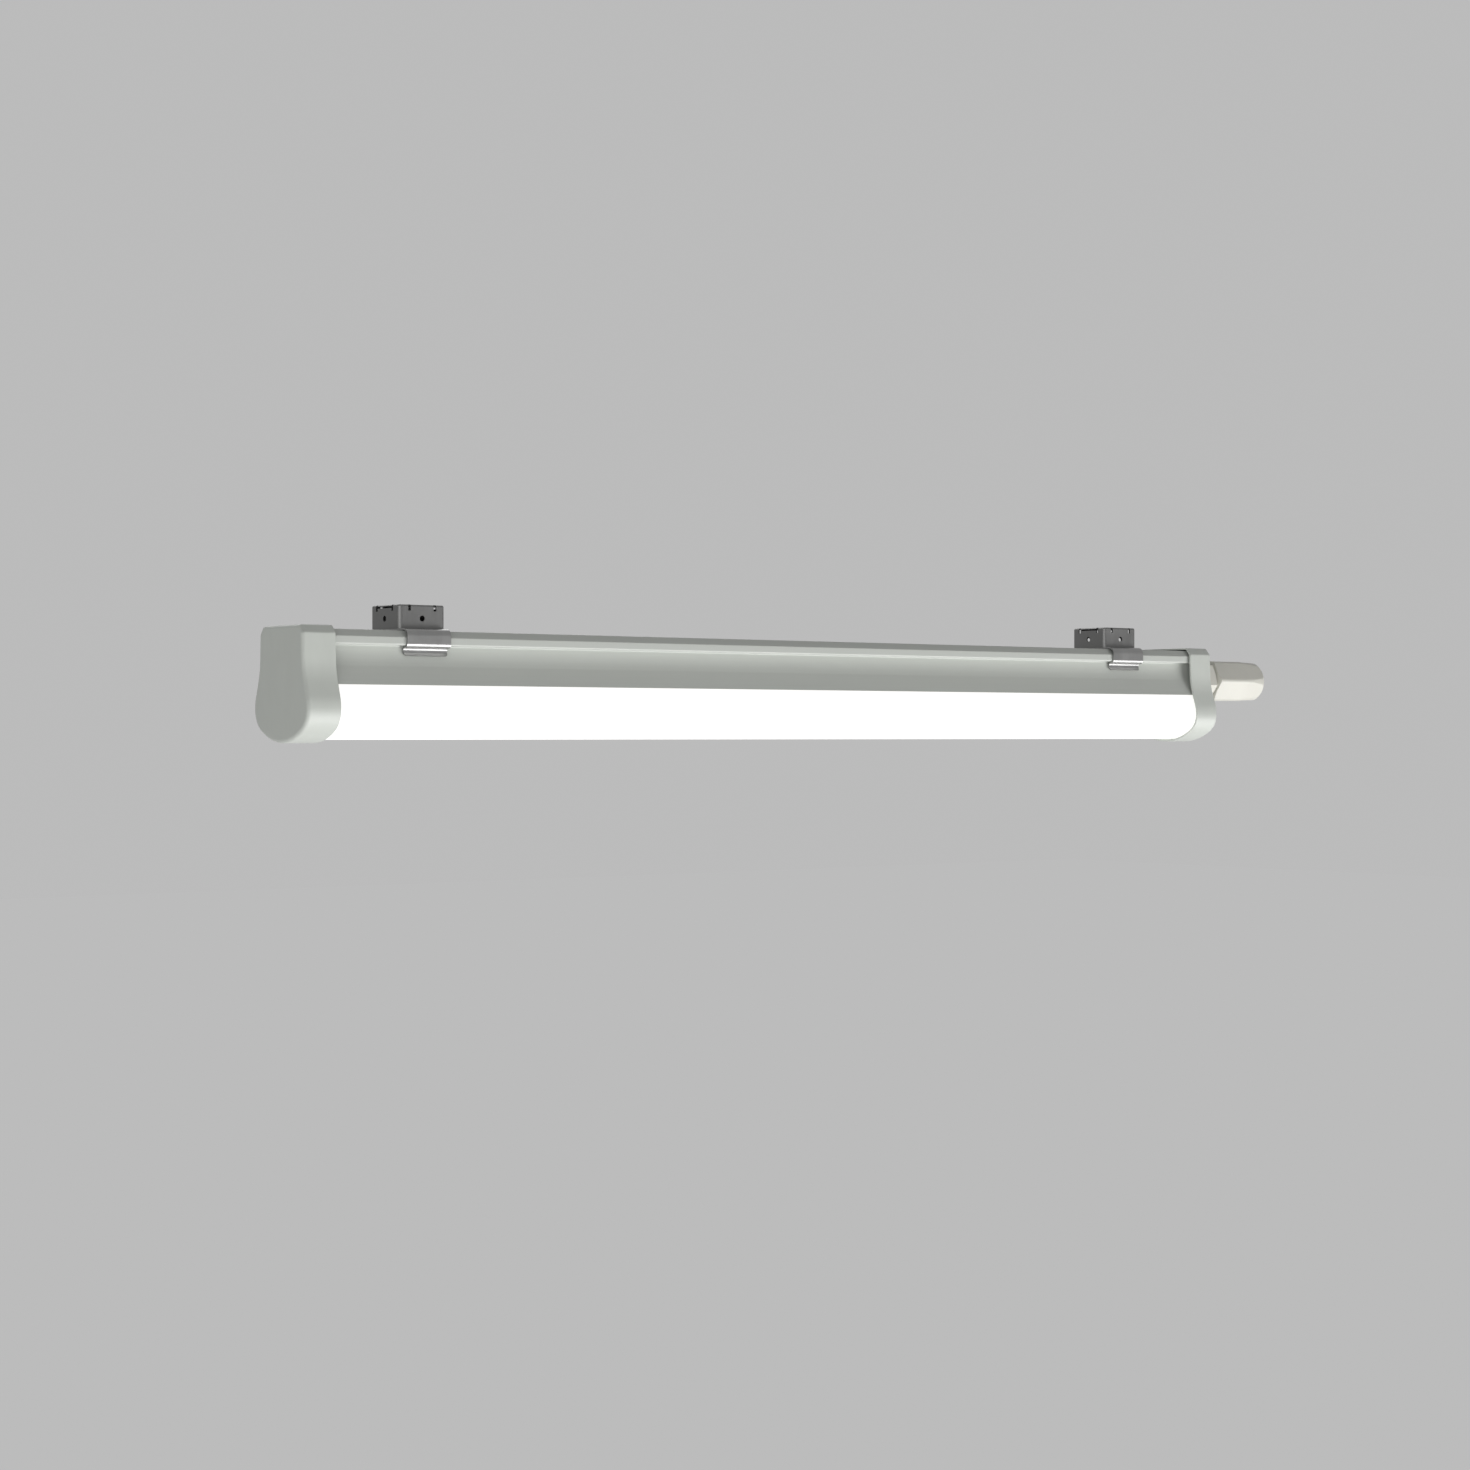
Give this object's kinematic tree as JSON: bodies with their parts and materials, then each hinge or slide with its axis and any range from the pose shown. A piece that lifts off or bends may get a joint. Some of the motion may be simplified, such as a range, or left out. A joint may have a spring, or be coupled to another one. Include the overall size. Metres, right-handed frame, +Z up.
{
  "type": "vapor tight light fixture",
  "caption": "Sealed slim linear luminaire with a ribbed-rail housing, glowing opal diffuser, keyhole end caps, spring ceiling clips and a cable gland.",
  "frame": {"origin": "on the ceiling plane, midway between the two fixing holes", "axes": "+X along the fitting towards the cable gland, +Y to its back, +Z up into the ceiling"},
  "size_m": [0.7113, 0.054, 0.07],
  "materials": {
    "housing_plastic": "matt light grey-green polycarbonate",
    "opal_diffuser": "satin opal polycarbonate, lit from inside",
    "cap_plastic": "satin light grey polycarbonate",
    "gasket_rubber": "matt black silicone",
    "gland_plastic": "satin warm white nylon",
    "insert_rubber": "matt black rubber",
    "slip_plastic": "smooth white acetal",
    "stainless_sheet": "rolled stainless sheet",
    "rivet_steel": "satin stainless",
    "tray_paint": "satin white powder coat",
    "board_white": "white solder mask",
    "chip_yellow": "yellow phosphor in a white package",
    "board_green": "green solder mask",
    "connector_white": "glossy white nylon",
    "zinc_steel": "bright zinc plate",
    "driver_plastic": "fine textured white plastic",
    "core_tape": "yellow tape over dark ferrite",
    "capacitor_sleeve": "dark shrink sleeve",
    "terminal_plastic": "grey-white nylon",
    "button_brown": "brown acetal",
    "button_blue": "blue acetal",
    "button_green": "green acetal",
    "wire_brown": "brown insulation",
    "wire_blue": "blue insulation",
    "wire_green_yellow": "green and yellow insulation",
    "wire_red": "red insulation",
    "wire_black": "black insulation",
    "tinned_copper": "tinned"
  },
  "bodies": {
    "left_clip": {"left_ceiling_bracket": "stainless_sheet", "left_spring_clip": "stainless_sheet", "left_clip_rivets": "rivet_steel"},
    "right_clip": {"right_ceiling_bracket": "stainless_sheet", "right_spring_clip": "stainless_sheet", "right_clip_rivets": "rivet_steel"},
    "luminaire": {"housing_extrusion": "housing_plastic", "diffuser": "opal_diffuser", "gear_tray": "tray_paint", "led_board": "board_white", "led_chips": "chip_yellow", "board_screws": "zinc_steel", "board_connector": "connector_white", "driver_case": "driver_plastic", "driver_cover": "driver_plastic", "driver_board": "board_green", "driver_transformer": "core_tape", "driver_capacitors": "capacitor_sleeve", "driver_screws": "zinc_steel", "terminal_block": "terminal_plastic", "terminal_screw": "zinc_steel", "live_wire": "wire_brown", "neutral_wire": "wire_blue", "earth_wire": "wire_green_yellow", "earth_lug": "tinned_copper", "earth_screw": "zinc_steel", "led_positive_wire": "wire_red", "led_negative_wire": "wire_black", "wire_clips": "connector_white"},
    "left_cap": {"left_end_cap": "cap_plastic", "left_end_gasket": "gasket_rubber"},
    "right_cap": {"right_end_cap": "cap_plastic", "right_end_gasket": "gasket_rubber", "gland_washer": "gasket_rubber", "gland_body": "gland_plastic", "gland_locknut": "gland_plastic", "gland_insert": "insert_rubber"},
    "slip_ring": {"gland_slip_ring": "slip_plastic"},
    "cap_nut": {"gland_cap_nut": "gland_plastic"},
    "live_button": {"live_release_button": "button_brown"},
    "earth_button": {"earth_release_button": "button_green"},
    "neutral_button": {"neutral_release_button": "button_blue"}
  },
  "joints": [
    {"name": "fitting_slide", "type": "slide", "parent": "left_clip", "child": "luminaire", "axis": [1, 0, 0], "range_m": [-0.02, 0.02]},
    {"name": "right_clip_slide", "type": "slide", "parent": "left_clip", "child": "right_clip", "axis": [1, 0, 0], "range_m": [-0.05, 0.02]},
    {"name": "left_cap_pull", "type": "slide", "parent": "luminaire", "child": "left_cap", "axis": [-1, 0, 0], "range_m": [0, 0.025]},
    {"name": "right_cap_pull", "type": "slide", "parent": "luminaire", "child": "right_cap", "axis": [1, 0, 0], "range_m": [0, 0.025]},
    {"name": "gland_ring_slide", "type": "slide", "parent": "right_cap", "child": "slip_ring", "axis": [1, 0, 0], "range_m": [0, 0.00601]},
    {"name": "gland_nut_turn", "type": "hinge", "parent": "slip_ring", "child": "cap_nut", "pos_m": [0.36, 0, -0.0315], "axis": [1, 0, 0], "range_deg": [0, 1440]},
    {"name": "live_button_press", "type": "slide", "parent": "luminaire", "child": "live_button", "axis": [0, 0, -1], "range_m": [0, 0.0015], "stiffness_N_per_m": 500},
    {"name": "earth_button_press", "type": "slide", "parent": "luminaire", "child": "earth_button", "axis": [0, 0, -1], "range_m": [0, 0.0015], "stiffness_N_per_m": 500},
    {"name": "neutral_button_press", "type": "slide", "parent": "luminaire", "child": "neutral_button", "axis": [0, 0, -1], "range_m": [0, 0.0015], "stiffness_N_per_m": 500}
  ],
  "couplings": [
    {"joint": "gland_ring_slide", "follows": "gland_nut_turn", "m_per_rad": 0.00023873}
  ]
}
